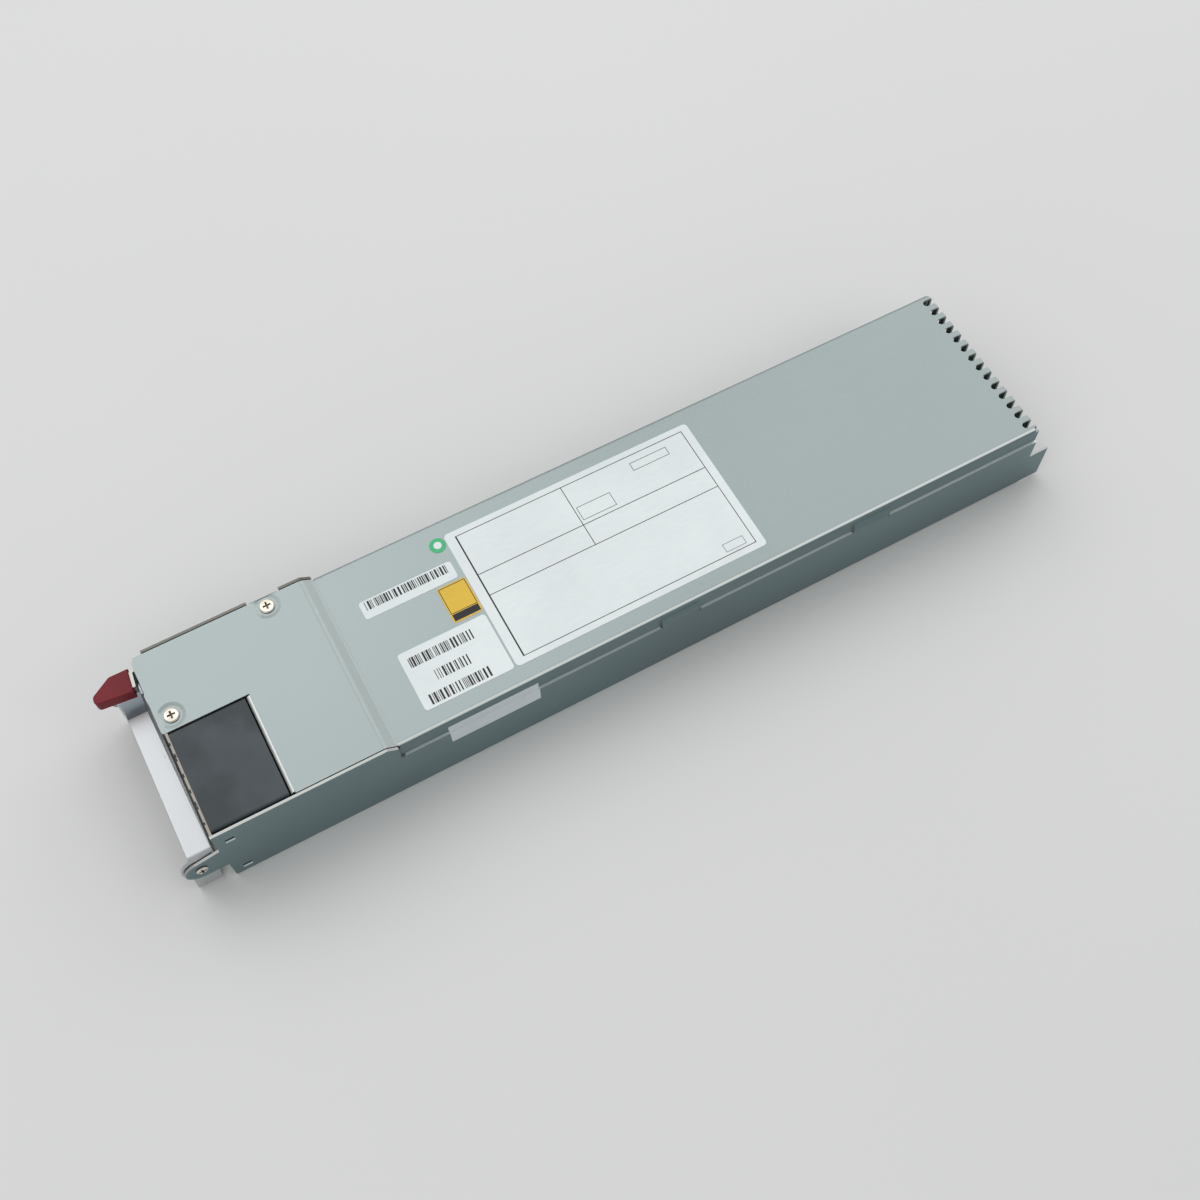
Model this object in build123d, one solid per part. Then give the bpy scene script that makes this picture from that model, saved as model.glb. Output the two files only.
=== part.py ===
from build123d import *
from math import cos, radians, sin
import os

# Hot swap server power supply: a folded tray with a jogged lid, fan, mains inlet,
# strap handle and release lever in front, and a contact tongue behind.
# Millimetres. X across the width, Y from the handle end to the output end, Z up.
# The origin is the middle of the floor's underside. Reaches and starts are measured
# backwards along Y from the side walls' front edge.

# Fan, which sets the height of the case
fan_size = 40.0
fan_depth = 28.0
fan_corner_radius = 1.0
fan_duct_margin = 1.2
fan_wall = 0.8
fan_plate = 1.5
fan_flange = 4.0
fan_hole_inset = 4.0
fan_side_gap = 0.9
fan_notch_gap = 0.45
rotor_front_gap = 2.5
rotor_tip_gap = 0.5
rotor_hub_radius = 10.2
rotor_hub_depth = 19.0
rotor_shell = 1.0
rotor_blades = 5
blade_thickness = 0.9
blade_chord = 20.0
blade_pitch_root = 50.0
blade_pitch_tip = 30.0
shaft_radius = 1.0
shaft_fit = 0.04
bearing_wall = 0.7
bearing_tube_wall = 0.7
stator_radius = 8.4
stator_depth = 10.0
stator_poles = 4
stator_slot_radius = 1.6
stator_slot_inset = 2.2
motor_plate = 2.0
strut_count = 4
strut_width = 1.8

# Case
body_width = 76.0
body_height = fan_size
body_length = 336.0
wall = 1.0
bend_radius = 1.5
skin = 0.9
seam = 0.1

# Raised front part of the lid, its step, and the ledge that its flanges stand behind
lid_step = 2.7
step_start = 64.0
step_end = 68.0
step_radius = 3.0
lid_side_gap = 0.4
lid_overhang = 0.7
lid_corner_radius = 3.0
notch_corner_radius = 1.3
lid_bend_radius = 1.6
notch_flange_drop = 6.0
notch_flange_gap = 0.6
ledge_drop = 7.8
flange_overlap = 5.0
flange_relief_radius = 0.6
flange_relief_height = 1.0
relief_hole_radius = 0.6
relief_slot_length = 2.0
far_wall_cut = 3.7
flush_tab_starts = (171.2, 252.9)
flush_tab_length = 15.7
flush_tab_rise = 4.5
flush_tab_slope = 1.2

# Rear end
rear_tab_reach = 8.7
rear_tab_top = 19.0
rear_tab_foot = 1.5
comb_slots = 14
comb_pitch = 5.1
comb_slot_width = 2.8
comb_slot_depth = 5.2
comb_foot = 17.0
rear_flange_foot = 14.5

# Lanced catches near the side walls' front edge
lance_heights = (6.4, 32.9)
lance_setback = 5.2
lance_length = 3.4
lance_slit = 0.9
lance_bulge_radius = 0.8
lance_bulge = 0.35

# Front panel
panel = 0.9
panel_set_back = 0.2
panel_flange = 8.4
panel_side_flange_top = 27.0
grille_hub_radius = 6.0
grille_margin = 0.4
grille_rings = 4
grille_bar = 1.1
grille_spoke = 1.8

# Screws
screw_radius = 1.5
screw_head_radius = 2.8
screw_head_height = 0.8
screw_play = 0.1
thread_play = 0.02
dimple_radius = 5.0
dimple_floor_radius = 3.7
dimple_depth = 0.35
cross_width = 0.7
cross_length = 3.0
cross_depth = 0.6
cover_screw_length = 3.0
front_screw_inset = 5.4
front_screw_setback = 4.7
rear_screw_inset = 4.1
rear_screw_setback = 49.6
screw_tab_length = 12.3
fan_screw_length = 7.0
countersink_radius = 2.7
countersink_depth = 1.2

# Handle strap, pivot ears and pivot screws
pivot_reach = 8.3
pivot_height = 18.9
pivot_play = 0.05
pivot_head_radius = 2.1
ear_radius = 5.9
ear_rise = 7.9
strap = 1.2
strap_width = 8.4
strap_side_gap = 0.35
strap_rise = 8.1
strap_fall = 18.1
strap_bend = 2.0
strap_slope_bend = 3.0
strap_shoulder_run = 14.8
strap_shoulder_drop = 4.0
strap_top_gap = 2.1
strap_front_reach = 13.6
strap_neck = 1.8
strap_neck_drop = 4.0
strap_foot_width = 9.2
strap_swell = 0.2
strap_swell_height = 7.5
strap_taper = 1.2
lug_radius = 6.7
nut_height = 2.2
nut_radius = 2.6

# Release lever with its catch, grip and flat spring
lever = 1.1
lever_height = 4.8
lever_lid_gap = 1.1
lever_root = 40.0
lever_tilt = 6.0
lever_front_reach = 1.7
lever_front_length = 6.8
lever_front_inset = 3.3
lever_jog_start = 5.0
lever_jog_end = 11.0
lever_swing_room = 5.2
spring_leaf = 0.5
spring_lap = 2.0
spring_tail = 14.0
catch_start = 13.0
catch_length = 8.0
catch_reach = 1.6
catch_nose = 0.7
window_play = 0.6
grip_length = 13.9
grip_width = 8.4
grip_overhang = 1.1
grip_draft = 0.7
grip_height = 4.8
grip_cut = 6.9
grip_tip = 3.4
grip_nose = 1.6
grip_edge = 0.5
rivet_setbacks = (4.5, 10.5)
rivet_radius = 1.2
rivet_head_radius = 2.0
rivet_head = 0.7

# Mains inlet
inlet_rise = 1.4
inlet_side_gap = 1.125
inlet_flange_height = 21.0
inlet_flange = 1.2
inlet_flange_radius = 2.0
inlet_body_margin = 1.8
inlet_body_depth = 20.0
socket_side = 3.2
socket_height = 16.2
socket_corner = 5.6
socket_depth = 17.0
pin_thick = 2.0
pin_tall = 4.0
pin_inset = 5.0
pin_drop = 1.0
pin_earth_rise = 4.0
pin_recess = 2.5
pin_point = 0.5
inlet_board_gap = 1.0
cutout_play = 0.2

# Status lamp
lamp_radius = 1.5
lamp_collar = 0.5
lamp_depth = 6.0
lamp_inset = 6.8
lamp_drop = 8.4

# Main board, its tongue and what carries it
board = 1.6
board_rise = 4.0
board_side_gap = 1.5
board_front = 32.0
board_nose = 21.0
board_rear_gap = 4.0
tongue_width = 60.0
tongue_reach = 7.6
contact_count = 24
contact_pitch = 2.35
contact_width = 1.7
contact_length = 6.0
contact_thick = 0.15
contact_setback = 1.0
insulator = 0.4
standoff_radius = 2.6
standoff_inset = 3.5
part_height = 23.0

# Rows of parts on the board, front to rear, with their lengths
row_lengths = {
    "header": 6.0,
    "filter": 26.0,
    "relay": 16.0,
    "boost": 82.0,
    "transformer": 40.0,
    "rectifier": 40.0,
    "output": 22.0,
}
standoff_gaps = ("relay", "transformer", "end")

# Parts on the board: room at its long edges, between neighbours, and their own sizes
edge_room = 7.5
neighbour_gap = 2.0
header_width = 10.0
header_height = 6.0
header_wall = 1.0
line_capacitor_inset = 4.0
line_capacitor_length = 11.0
line_capacitor_height = 17.0
box_corner = 1.0
filter_choke_height = 13.0
filter_choke_start = 1.0
choke_bore_share = 0.44
fuse_inset = 3.5
fuse_radius = 2.4
fuse_length = 20.0
fuse_cap = 0.4
fuse_cap_length = 5.0
fuse_rise = 3.2
fuse_foot = 4.0
relay_inset = 1.0
relay_length = 12.0
relay_height = 15.0
bridge_thick = 3.6
bridge_height = 20.0
bridge_hole = 1.6
bridge_hole_height = 15.0
input_sink_depth = 12.0
input_sink_start = 2.0
sink_fins = 5
sink_plate = 2.5
sink_fin = 1.5
boost_choke_height = 17.0
boost_choke_room = 34.0
bulk_edge_gap = 4.5
power_sink_depth = 10.0
power_sink_edge_gap = 0.5
transistor_count = 3
transistor_pitch = 15.0
transistor_width = 13.0
transistor_thick = 4.0
transistor_height = 19.0
standby_edge_gap = 2.5
standby_width = 17.0
standby_length = 15.0
standby_height = 15.0
core_gap = 3.0
core_edge_gap = 12.5
core_inset = 4.0
core_leg = 6.0
core_yoke = 4.0
winding_corner = 2.0
control_board_inset = 1.5
control_board_start = 20.0
control_board_end = 2.0
output_choke_radius = 9.0
output_choke_height = 20.0
output_choke_inset = 10.5
rectifier_sink_start = 23.5
rectifier_sink_gap = 4.0
can_rim = 0.8
output_can_radius = 4.6
output_can_height = 21.0
output_can_pitch = 10.0
output_can_gap = 2.4
output_can_rows = 2
bar_inset = 6.0
bar_width = 2.5
bar_thick = 1.5
bar_root = 4.0
bar_height = 16.0

# Worked out from the values above
front = -body_length / 2
rear = body_length / 2
wall_face = body_width / 2
wall_inner = wall_face - wall
beyond = body_width + body_length
lid_height = body_height - lid_step
ledge_height = lid_height - ledge_drop
fan_duct_radius = fan_size / 2 - fan_duct_margin
fan_hole_pitch = fan_size - 2 * fan_hole_inset
grille_outer_radius = fan_duct_radius - grille_margin
fan_x = wall_inner - fan_side_gap - fan_size / 2
fan_z = body_height / 2
fan_front = front + panel_set_back + panel
fan_rear = fan_front + fan_depth
fan_low_x = fan_x - fan_size / 2 - fan_notch_gap
notch_rear = fan_rear + fan_notch_gap
rotor_front = fan_front + rotor_front_gap
bearing_radius = shaft_radius + bearing_wall
tube_radius = bearing_radius + bearing_tube_wall
tube_front = rotor_front + rotor_shell + fan_side_gap
strap_top = pivot_height + strap_rise
strap_foot = pivot_height - strap_fall
strap_face = wall_inner - strap_side_gap
strap_inner = strap_face - strap
lever_top = body_height - skin - lever_lid_gap
lever_low = lever_top - lever_height
lever_face = -wall_inner + spring_leaf
lever_front_x = -wall_inner + lever_front_inset
inlet_x = (fan_low_x - wall_inner) / 2
inlet_flange_width = fan_low_x + wall_inner - 2 * inlet_side_gap
socket_width = inlet_flange_width - 2 * socket_side
pin_spacing = socket_width - 2 * pin_inset
inlet_z = wall + inlet_rise + inlet_flange_height / 2
inlet_back = front + panel_set_back + inlet_body_depth
deck = wall + board_rise + board
board_half = wall_inner - board_side_gap
board_rear = rear - board_rear_gap
nose_high_x = fan_low_x - board_side_gap
row_gap = (board_rear - front - board_front - sum(row_lengths.values())) / (len(row_lengths) + 1)
cover_screw_places = (
    (fan_low_x - front_screw_inset, front + front_screw_setback),
    (-wall_inner + rear_screw_inset, front + rear_screw_setback),
)
fan_screw_places = [
    (fan_x + a * fan_hole_pitch / 2, fan_z + b * fan_hole_pitch / 2) for a in (-1, 1) for b in (-1, 1)
]
lamp_place = (fan_low_x - lamp_inset, body_height - lamp_drop)


def row_start(name):
    """Y where a row of parts starts, or where the board's last gap ends."""
    y = front + board_front + row_gap
    for row, length in row_lengths.items():
        if row == name:
            return y
        y += length + row_gap
    return y


standoff_places = [
    (side * (board_half - standoff_inset), row_start(gap) - row_gap / 2) for gap in standoff_gaps for side in (-1, 1)
]


def block(x0, x1, y0, y1, z0, z1):
    """A box between two corners."""
    size = Box(x1 - x0, y1 - y0, z1 - z0)
    return Pos((x0 + x1) / 2, (y0 + y1) / 2, (z0 + z1) / 2) * size


def outline(*points):
    """A flat face inside a closed run of straight lines."""
    return make_face(Polyline(*points, close=True))


def round_corner(face, place, radius):
    """Round the corner of a flat face that lies nearest to a place."""
    corner = face.vertices().sort_by_distance(place)[0]
    return fillet(corner, radius)


def across(face, x0, x1):
    """Extrude a face drawn in Y and Z from x0 to x1."""
    return extrude(Plane.YZ.offset(x0) * face, x1 - x0)


def lengthwise(face, y0, y1):
    """Extrude a face drawn in X and Z from y0 to y1."""
    return extrude(Plane.XZ.offset(-y1) * face, y1 - y0)


def upright(face, z0, z1):
    """Extrude a face drawn in X and Y from z0 to z1."""
    return extrude(Plane.XY.offset(z0) * face, z1 - z0)


def rod_x(y, z, radius, x0, x1):
    """A round bar along X."""
    return across(Pos(y, z) * Circle(radius), x0, x1)


def rod_y(x, z, radius, y0, y1):
    """A round bar along Y."""
    return lengthwise(Pos(x, z) * Circle(radius), y0, y1)


def rod_z(x, y, radius, z0, z1):
    """A round bar along Z."""
    return upright(Pos(x, y) * Circle(radius), z0, z1)


def both_sides(solid):
    """A solid and its mirror image across the middle of the width."""
    return [solid, mirror(solid, Plane.YZ)]


def cross_screw(length, head_radius=screw_head_radius):
    """A low pan head screw with a cross recess, head up, its seat at Z zero."""
    head = Pos(0, 0, screw_head_height / 2) * Cylinder(head_radius, screw_head_height)
    head = chamfer(head.edges().group_by(Axis.Z)[-1], screw_head_height / 2)
    shank = Pos(0, 0, -length / 2) * Cylinder(screw_radius, length)
    cross = Box(cross_width, cross_length, 2 * cross_depth) + Box(cross_length, cross_width, 2 * cross_depth)
    return head + shank - Pos(0, 0, screw_head_height) * cross


def plain_screw(length):
    """A hidden screw without its recess, head up, its seat at Z zero."""
    head = Pos(0, 0, screw_head_height / 2) * Cylinder(screw_head_radius, screw_head_height)
    return head + Pos(0, 0, -length / 2) * Cylinder(screw_radius, length)


def dimple():
    """The shallow seat that is pressed into a sheet round a screw, its rim at Z zero."""
    return Pos(0, 0, -dimple_depth / 2) * Cone(dimple_floor_radius, dimple_radius, dimple_depth)


def wound_ring(outer, height):
    """A wound ring core lying flat, its foot at Z zero."""
    inner = outer * choke_bore_share
    ring = Cylinder(outer, height) - Cylinder(inner, height)
    return Pos(0, 0, height / 2) * chamfer(ring.edges(), (outer - inner) / 5)


def can(radius, height):
    """An upright capacitor can with its foot at Z zero."""
    body = Pos(0, 0, height / 2) * Cylinder(radius, height)
    return chamfer(body.edges().group_by(Axis.Z)[-1], can_rim)


def heatsink(length, depth):
    """A finned heatsink: an upright plate along Y, its fins towards +X."""
    sink = block(0, sink_plate, 0, length, 0, part_height)
    pitch = (part_height - sink_fin) / (sink_fins - 1)
    for index in range(sink_fins):
        sink += block(0, depth, 0, length, index * pitch, index * pitch + sink_fin)
    return sink


# Folded tray
def make_base():
    outer = Pos(0, body_height) * Rectangle(body_width, 2 * body_height)
    outer = fillet(outer.vertices().group_by(Axis.Y)[0], bend_radius)
    inner = Pos(0, body_height + wall) * Rectangle(2 * wall_inner, 2 * body_height)
    inner = fillet(inner.vertices().group_by(Axis.Y)[0], bend_radius - wall)
    end = rear + rear_tab_reach
    tray = lengthwise(outer - inner, front, end)
    ledge_start = front + step_end
    above = outline(
        (front - 1, beyond),
        (front - 1, body_height),
        (front + step_start, body_height),
        (ledge_start - seam, lid_height),
        (ledge_start, ledge_height),
        (end + 1, ledge_height),
        (end + 1, beyond),
    )
    tray -= across(above, -beyond, beyond)
    tray -= block(-wall_inner, wall_inner, rear, end + 1, -1, body_height)
    tray -= block(-beyond, beyond, rear, end + 1, -1, rear_tab_foot)
    tray -= block(-beyond, beyond, rear, end + 1, rear_tab_top, body_height)

    # Corner of the far wall cut back for the lever
    tray -= block(-beyond, -wall_inner, front - 1, front + far_wall_cut, lever_low - window_play, beyond)

    # Opening under the fan
    tray -= block(fan_low_x, fan_x + fan_size / 2 + seam, front - 1, notch_rear, -1, wall + seam)

    # Pivot ears: a round lug that widens to its root, dished round the screw
    pivot_y = front - pivot_reach
    lug = Pos(pivot_y, pivot_height) * Circle(ear_radius)
    root_height = ear_radius + ear_rise
    root = Pos(front + wall / 2, pivot_height - ear_radius + root_height / 2) * Rectangle(wall, root_height)
    ear = across(make_hull(lug.edges() + root.edges()), wall_inner, wall_face)
    ear -= rod_x(pivot_y, pivot_height, screw_radius + screw_play, 0, beyond)
    ear -= Pos(wall_face, pivot_y, pivot_height) * Rot(0, 90, 0) * dimple()
    for side in both_sides(ear):
        tray += side

    # Relief holes where the ledge starts and at the ends of the flush tabs
    hole_height = ledge_height - relief_hole_radius / 2
    slot = SlotOverall(relief_slot_length, 2 * relief_hole_radius)
    tray -= across(Pos(ledge_start + relief_hole_radius, hole_height) * slot, -beyond, beyond)
    for start in flush_tab_starts:
        for end_y in (start, start + flush_tab_length):
            tray -= rod_x(front + end_y, hole_height, relief_hole_radius, -beyond, beyond)

    # Lanced catches: a slit over a small bulge
    for height in lance_heights:
        y = front + lance_setback
        bulge_z = height - lance_bulge_radius - lance_slit / 2
        depth = lance_bulge_radius - lance_bulge
        bulge = lengthwise(Pos(wall_face - depth, bulge_z) * Circle(lance_bulge_radius),
                           y - lance_length / 2, y + lance_length / 2)
        bulge &= block(wall_inner, beyond, front, rear, 0, body_height)
        for side in both_sides(bulge):
            tray += side
        slit = Pos(y, height) * SlotOverall(lance_length, lance_slit)
        tray -= across(slit, -beyond, beyond)

    # Tab for the lid's rear screw, folded in from the top of the far wall
    tab_x, tab_y = cover_screw_places[1]
    tab_top = body_height - skin
    tab_end = tab_x + dimple_radius
    tray -= block(-beyond, -wall_inner, tab_y - screw_tab_length / 2, tab_y + screw_tab_length / 2,
                  tab_top - bend_radius, body_height + 1)
    fold = outline(
        (-wall_face, tab_top - bend_radius - seam),
        (-wall_face, tab_top),
        (tab_end, tab_top),
        (tab_end, tab_top - wall),
        (-wall_inner, tab_top - wall),
        (-wall_inner, tab_top - bend_radius - seam),
    )
    fold = round_corner(fold, (-wall_face, tab_top), bend_radius)
    tab = lengthwise(fold, tab_y - screw_tab_length / 2 + 1, tab_y + screw_tab_length / 2 - 1)
    tray += tab - rod_z(tab_x, tab_y, screw_radius + thread_play, 0, beyond)

    # Window for the catch, and holes for the rivets of the flat spring
    window_start = front + catch_start - window_play
    window_end = front + catch_start + catch_length + 3 * window_play
    tray -= block(-beyond, -wall_inner + seam, window_start, window_end,
                  lever_low - window_play, lever_top + window_play)
    for setback in rivet_setbacks:
        tray -= rod_x(front + lever_root + setback, lever_top - lever_height / 2, rivet_radius, -beyond, 0)
    return tray


# Folded lid: raised front part, step, side flanges, flush tabs and slotted rear edge
def make_cover():
    lid_front = front - lid_overhang
    step_low = front + step_end
    step_high = front + step_start
    rise = skin / 4
    profile = outline(
        (lid_front, body_height),
        (step_high, body_height),
        (step_low, lid_height),
        (rear, lid_height),
        (rear, rear_flange_foot),
        (rear - skin, rear_flange_foot),
        (rear - skin, lid_height - skin),
        (step_low - rise, lid_height - skin),
        (step_high - rise, body_height - skin),
        (lid_front, body_height - skin),
    )
    for place, radius in (
        ((step_high, body_height), step_radius),
        ((step_high - rise, body_height - skin), step_radius - skin),
        ((step_low, lid_height), step_radius - skin),
        ((step_low - rise, lid_height - skin), step_radius),
        ((rear, lid_height), lid_bend_radius),
        ((rear - skin, lid_height - skin), lid_bend_radius - skin),
    ):
        profile = round_corner(profile, place, radius)
    lid_half = wall_inner - lid_side_gap
    flange_start = step_low + seam
    lid = across(profile, -lid_half, lid_half)
    for side in both_sides(block(wall_inner - lid_bend_radius, beyond, flange_start, rear + 1, 0, body_height)):
        lid -= side

    # Side flanges, bent down inside the walls
    flange_foot = ledge_height - flange_overlap
    height = lid_height - flange_foot
    section = Pos(0, flange_foot) * Rectangle(2 * wall_inner, 2 * height)
    section = fillet(section.vertices().group_by(Axis.Y)[-1], lid_bend_radius)
    hollow = Pos(0, flange_foot - skin) * Rectangle(2 * (wall_inner - skin), 2 * height)
    hollow = fillet(hollow.vertices().group_by(Axis.Y)[-1], lid_bend_radius - skin)
    below = Pos(0, flange_foot - height) * Rectangle(body_width, 2 * height)
    lid += lengthwise(section - hollow - below, flange_start, rear - lid_bend_radius)
    leg = block(wall_inner - skin, wall_inner, rear - 2 * lid_bend_radius, rear, flange_foot,
                lid_height - lid_bend_radius)
    for side in both_sides(leg):
        lid += side
    relief_foot = lid_height - lid_bend_radius - flange_relief_height
    relief = rod_z(wall_inner, flange_start, flange_relief_radius, relief_foot, body_height)
    for side in both_sides(relief):
        lid -= side
    ledge_relief = Pos(step_low + relief_hole_radius, ledge_height - relief_hole_radius / 2) * SlotOverall(
        relief_slot_length, 2 * relief_hole_radius)
    lid -= across(ledge_relief, -beyond, beyond)

    # Flush tabs that close the ledge
    tab_foot = ledge_height + seam
    tab_top = ledge_height + flush_tab_rise
    tab = outline(
        (wall_inner - skin / 2, tab_top),
        (wall_inner, tab_top),
        (wall_face, tab_top - flush_tab_slope),
        (wall_face, tab_foot),
        (wall_inner - skin / 2, tab_foot),
    )
    for start in flush_tab_starts:
        for side in both_sides(lengthwise(tab, front + start, front + start + flush_tab_length)):
            lid += side

    # Notch round the fan, its rear edge folded down behind the fan
    lid -= block(fan_low_x, beyond, lid_front - 1, notch_rear + lid_bend_radius, 0, beyond)
    fold = outline(
        (notch_rear, body_height - notch_flange_drop),
        (notch_rear, body_height),
        (notch_rear + lid_bend_radius + seam, body_height),
        (notch_rear + lid_bend_radius + seam, body_height - skin),
        (notch_rear + skin, body_height - skin),
        (notch_rear + skin, body_height - notch_flange_drop),
    )
    fold = round_corner(fold, (notch_rear, body_height), lid_bend_radius)
    fold = round_corner(fold, (notch_rear + skin, body_height - skin), lid_bend_radius - skin)
    lid += across(fold, fan_low_x + notch_flange_gap, lid_half - notch_flange_gap)
    corners = lid.edges().filter_by(Axis.Z)
    lid = fillet(corners.sort_by_distance((-lid_half, lid_front, body_height))[0], lid_corner_radius)
    corners = lid.edges().filter_by(Axis.Z)
    lid = fillet(corners.sort_by_distance((fan_low_x, lid_front, body_height))[0], notch_corner_radius)

    # Slots of the rear edge, over the bend and down the rear flange
    half = comb_slot_width / 2
    for index in range(comb_slots):
        x = (index - (comb_slots - 1) / 2) * comb_pitch
        start = rear - comb_slot_depth + half
        lid -= block(x - half, x + half, start, rear + 1, comb_foot, beyond)
        lid -= rod_z(x, start, half, lid_height - 2 * skin, beyond)
        lid -= rod_y(x, comb_foot, half, rear - 2 * skin, rear + 1)

    # Seats and holes of the two screws
    for x, y in cover_screw_places:
        lid -= Pos(x, y, body_height) * dimple()
        lid -= rod_z(x, y, screw_radius + screw_play, lid_height - 2 * skin, beyond)
    return lid


def make_cover_screws():
    return [Pos(x, y, body_height - dimple_depth) * cross_screw(cover_screw_length) for x, y in cover_screw_places]


# Front panel with a ring grille in front of the fan
def make_panel():
    y0 = front + panel_set_back
    y1 = y0 + panel
    lid_under = body_height - skin
    shape = outline(
        (-wall_inner, bend_radius),
        (-wall_inner, lid_under),
        (fan_low_x, lid_under),
        (fan_low_x, body_height - seam),
        (wall_inner, body_height - seam),
        (wall_inner, wall + bend_radius),
        (fan_x + fan_size / 2, wall + seam),
        (fan_x + fan_size / 2, seam),
        (fan_low_x + seam, seam),
        (fan_low_x + seam, wall),
        (-wall_inner + bend_radius, wall),
    )
    plate = lengthwise(shape, y0, y1)
    pitch = (grille_outer_radius - grille_hub_radius) / grille_rings
    spokes = Rot(0, 0, 45) * (Rectangle(2 * fan_size, grille_spoke) + Rectangle(grille_spoke, 2 * fan_size))
    for ring in range(grille_rings):
        inner = grille_hub_radius + ring * pitch
        opening = Circle(inner + pitch - grille_bar) - Circle(inner) - spokes
        plate -= lengthwise(Pos(fan_x, fan_z) * opening, y0 - 1, y1 + 1)
    plate -= fan_screw_seats()

    # Cut-outs for the inlet, the lamp and the release lever
    half_width = inlet_flange_width / 2 - inlet_body_margin + cutout_play
    half_height = inlet_flange_height / 2 - inlet_body_margin + cutout_play
    plate -= block(inlet_x - half_width, inlet_x + half_width, y0 - 1, y1 + 1,
                   inlet_z - half_height, inlet_z + half_height)
    plate -= rod_y(*lamp_place, lamp_radius + seam, y0 - 1, y1 + 1)
    plate -= block(lever_front_x - window_play, lever_front_x + lever_swing_room, y0 - 1, y1 + 1,
                   lever_low - window_play, lever_top + seam)

    # Flanges folded back, one under the lid and one along the far wall
    top = block(-wall_inner + bend_radius, fan_low_x - bend_radius, y0, y1 + panel_flange, lid_under - panel, lid_under)
    top -= rod_z(*cover_screw_places[0], screw_radius + thread_play, 0, beyond)
    side = block(-wall_inner, -wall_inner + panel, y0, y1 + panel_flange, 2 * bend_radius, panel_side_flange_top)
    return plate + top + side


def fan_screw_seats():
    """Countersunk screw bodies through the panel into the fan's corners."""
    seats = []
    y = front + panel_set_back
    for x, z in fan_screw_places:
        cone = Pos(x, y + countersink_depth / 2, z) * Rot(90, 0, 0) * Cone(
            screw_radius, countersink_radius, countersink_depth)
        seats.append(cone + rod_y(x, z, screw_radius + thread_play, y, fan_front + fan_flange + fan_depth))
    return seats


def make_fan_screws():
    screws = []
    y = front + panel_set_back
    for x, z in fan_screw_places:
        head = Pos(x, y + countersink_depth / 2, z) * Rot(90, 0, 0) * Cone(
            screw_radius, countersink_radius - seam, countersink_depth)
        shank = rod_y(x, z, screw_radius, y + countersink_depth / 2, y + fan_screw_length)
        cross = Box(cross_width, cross_depth, cross_length) + Box(cross_length, cross_depth, cross_width)
        screws.append(head + shank - Pos(x, y, z) * cross)
    return screws


# Square fan housing with a round duct and open pockets at its sides
def make_fan_frame():
    square = fillet(Rectangle(fan_size, fan_size).vertices(), fan_corner_radius)
    place = Pos(fan_x, fan_z)
    frame = lengthwise(place * square, fan_front, fan_rear)
    pockets = Rectangle(fan_size + 2, fan_size - 2 * fan_plate) - Rectangle(fan_size / 2, fan_size)
    pockets -= Circle(fan_duct_radius + fan_wall)
    for a in (-1, 1):
        for b in (-1, 1):
            pockets -= Pos(a * fan_hole_pitch / 2, b * fan_hole_pitch / 2) * Circle(screw_radius + fan_wall)
    frame -= lengthwise(place * pockets, fan_front + fan_flange, fan_rear - fan_flange)
    frame -= rod_y(fan_x, fan_z, fan_duct_radius, fan_front - 1, fan_rear + 1)
    frame -= fan_screw_seats()

    # Motor plate behind, held by struts, with the bearing's tube
    plate_y = fan_rear - motor_plate
    frame += rod_y(fan_x, fan_z, rotor_hub_radius, plate_y, fan_rear)
    reach = fan_duct_radius + fan_wall / 2 - rotor_hub_radius + 1
    for index in range(strut_count):
        turn = Rot(0, 0, 45 + index * 360 / strut_count)
        bar = turn * (Pos(rotor_hub_radius - 1 + reach / 2, 0) * Rectangle(reach, strut_width))
        frame += lengthwise(place * bar, plate_y, fan_rear)
    frame += rod_y(fan_x, fan_z, tube_radius, tube_front, plate_y + seam)
    frame -= rod_y(fan_x, fan_z, bearing_radius, tube_front - 1, fan_rear - motor_plate / 2)
    return frame


def make_fan_bearing():
    sleeve = rod_y(fan_x, fan_z, bearing_radius, tube_front, fan_rear - motor_plate / 2)
    return sleeve - rod_y(fan_x, fan_z, shaft_radius + shaft_fit, tube_front - 1, fan_rear)


# Rotor: a cup on a shaft, with blades that twist from root to tip
def make_fan_rotor():
    y1 = rotor_front + rotor_hub_depth
    cup = rod_y(fan_x, fan_z, rotor_hub_radius, rotor_front, y1)
    rim = cup.edges().group_by(Axis.Y)[0]
    cup = chamfer(rim, rotor_shell)
    cup -= rod_y(fan_x, fan_z, rotor_hub_radius - rotor_shell, rotor_front + rotor_shell, y1 + 1)
    tip = fan_duct_radius - rotor_tip_gap
    sections = []
    for radius, pitch in ((rotor_hub_radius - rotor_shell / 2, blade_pitch_root), (tip + 1, blade_pitch_tip)):
        plane = Plane(origin=(radius, 0, 0), x_dir=(0, 0, 1), z_dir=(1, 0, 0))
        sections.append(plane * (Rot(0, 0, pitch) * Rectangle(blade_chord, blade_thickness)))
    blade = loft(sections)
    blade &= Rot(90, 0, 0) * Cylinder(tip, 2 * rotor_hub_depth)
    blade = Pos(0, (rotor_front + y1) / 2, 0) * blade
    blade &= block(-fan_size, fan_size, rotor_front, y1, -fan_size, fan_size)
    for index in range(rotor_blades):
        cup += Pos(fan_x, 0, fan_z) * Rot(0, index * 360 / rotor_blades, 0) * blade
    return cup + rod_y(fan_x, fan_z, shaft_radius, rotor_front + rotor_shell / 2, fan_rear - motor_plate)


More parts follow.
